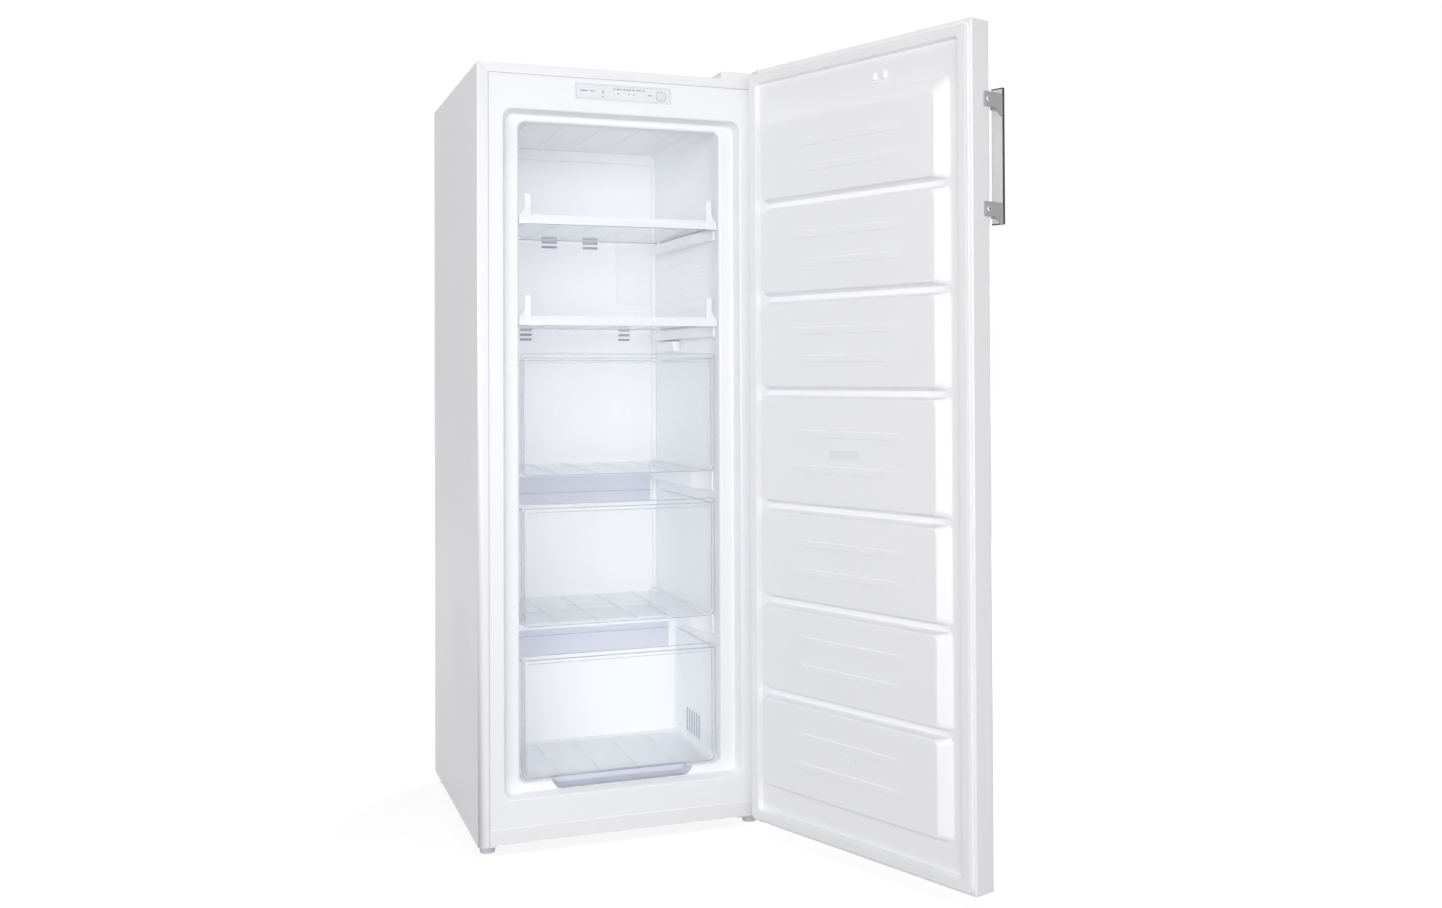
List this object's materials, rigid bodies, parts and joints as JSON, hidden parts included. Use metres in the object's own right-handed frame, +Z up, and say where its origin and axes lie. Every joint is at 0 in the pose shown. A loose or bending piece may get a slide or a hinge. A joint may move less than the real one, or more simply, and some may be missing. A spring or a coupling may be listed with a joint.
{
  "type": "upright freezer",
  "caption": "Tall single-door freezer with clear pull-out drawers, shelves, a blocked inner door face and a bar handle on the door's side.",
  "frame": {"origin": "on the floor under the middle of the cabinet's width and depth", "axes": "+Z up, the open front faces -Y, +X towards the hinge side"},
  "size_m": [0.7737, 1.0718, 1.43],
  "materials": {
    "white_steel": "smooth white enamel",
    "zinc_steel": "galvanised sheet",
    "white_plastic": "thermoformed white plastic, semi gloss",
    "panel_plastic": "white moulded plastic, satin",
    "clear_plastic": "clear moulded plastic",
    "foam": "rigid insulating foam",
    "gasket": "soft white vinyl",
    "magnet": "flexible magnet",
    "bar_metal": "brushed along its length",
    "dark_plastic": "dark grey moulded plastic",
    "button_plastic": "pale grey, glossy",
    "lens": "translucent",
    "board": "green laminate",
    "aluminium": "mill finish",
    "black_paint": "black enamel",
    "copper": "bare copper tube",
    "mount_rubber": "black rubber",
    "foot_plastic": "dark grey nylon"
  },
  "bodies": {
    "cabinet": {"cabinet_shell": "white_steel", "bottom_front_rail": "white_steel", "bottom_panel": "zinc_steel", "back_panel": "white_steel", "compressor_base": "zinc_steel", "machine_wall": "zinc_steel", "machine_cover": "white_steel", "inner_liner": "white_plastic", "insulation_foam": "foam", "rear_duct_cover": "white_plastic", "sensor_cover": "white_plastic", "evaporator": "aluminium", "defrost_heater": "aluminium", "evaporator_fan_motor": "dark_plastic", "drain_tube": "panel_plastic", "shelf_rails": "white_plastic", "drawer_rails": "white_plastic", "tilt_stops": "white_plastic", "control_panel": "panel_plastic", "control_board": "board", "indicator_lenses": "lens", "top_hinge": "zinc_steel", "hinge_cover": "panel_plastic", "bottom_hinge": "zinc_steel", "hinge_screws": "zinc_steel", "rear_feet": "foot_plastic", "compressor": "black_paint", "compressor_grommets": "mount_rubber", "start_relay": "dark_plastic", "drain_pan": "dark_plastic", "condenser_coil": "black_paint", "filter_drier": "copper", "cable_gland": "dark_plastic", "shelf_lower_plate": "clear_plastic", "shelf_lower_trim": "clear_plastic", "shelf_upper_plate": "clear_plastic", "shelf_upper_trim": "clear_plastic"},
    "door": {"door_skin": "white_steel", "door_top_cap": "panel_plastic", "door_bottom_cap": "panel_plastic", "hinge_bushes": "panel_plastic", "door_liner": "white_plastic", "door_foam": "foam", "door_gasket": "gasket", "gasket_magnet": "magnet", "handle_bar": "bar_metal", "handle_caps": "dark_plastic", "handle_bracket_lower": "dark_plastic", "handle_bracket_upper": "dark_plastic", "handle_screws": "zinc_steel"},
    "drawer_lower": {"drawer_lower_tub": "clear_plastic", "drawer_lower_front": "clear_plastic"},
    "drawer_middle": {"drawer_middle_tub": "clear_plastic", "drawer_middle_front": "clear_plastic"},
    "drawer_upper": {"drawer_upper_tub": "clear_plastic", "drawer_upper_front": "clear_plastic"},
    "control_button": {"control_button": "button_plastic"},
    "evaporator_fan_wheel": {"evaporator_fan_wheel": "dark_plastic"},
    "front_foot_left": {"front_foot_left": "foot_plastic"},
    "front_foot_right": {"front_foot_right": "foot_plastic"}
  },
  "joints": [
    {"name": "door_swing", "type": "hinge", "parent": "cabinet", "child": "door", "pos_m": [0.2605, -0.2975, 0.7], "axis": [0, 0, 1], "range_deg": [-110.3, 24.7]},
    {"name": "drawer_lower_slide", "type": "slide", "parent": "cabinet", "child": "drawer_lower", "axis": [0, -1, 0], "range_m": [0, 0.19]},
    {"name": "drawer_middle_slide", "type": "slide", "parent": "cabinet", "child": "drawer_middle", "axis": [0, -1, 0], "range_m": [0, 0.25]},
    {"name": "drawer_upper_slide", "type": "slide", "parent": "cabinet", "child": "drawer_upper", "axis": [0, -1, 0], "range_m": [0, 0.25]},
    {"name": "control_button_press", "type": "slide", "parent": "cabinet", "child": "control_button", "axis": [0, 1, 0], "range_m": [0, 0.001], "stiffness_N_per_m": 1500, "springref_m": -0.0002},
    {"name": "evaporator_fan_spin", "type": "hinge", "parent": "cabinet", "child": "evaporator_fan_wheel", "pos_m": [0, 0.193, 1.079], "axis": [0, 1, 0], "continuous": true},
    {"name": "front_foot_left_turn", "type": "hinge", "parent": "cabinet", "child": "front_foot_left", "pos_m": [-0.2505, -0.2355, 0], "axis": [0, 0, 1], "range_deg": [-720, 720]},
    {"name": "front_foot_right_turn", "type": "hinge", "parent": "cabinet", "child": "front_foot_right", "pos_m": [0.2505, -0.2355, 0], "axis": [0, 0, 1], "range_deg": [-720, 720]}
  ]
}
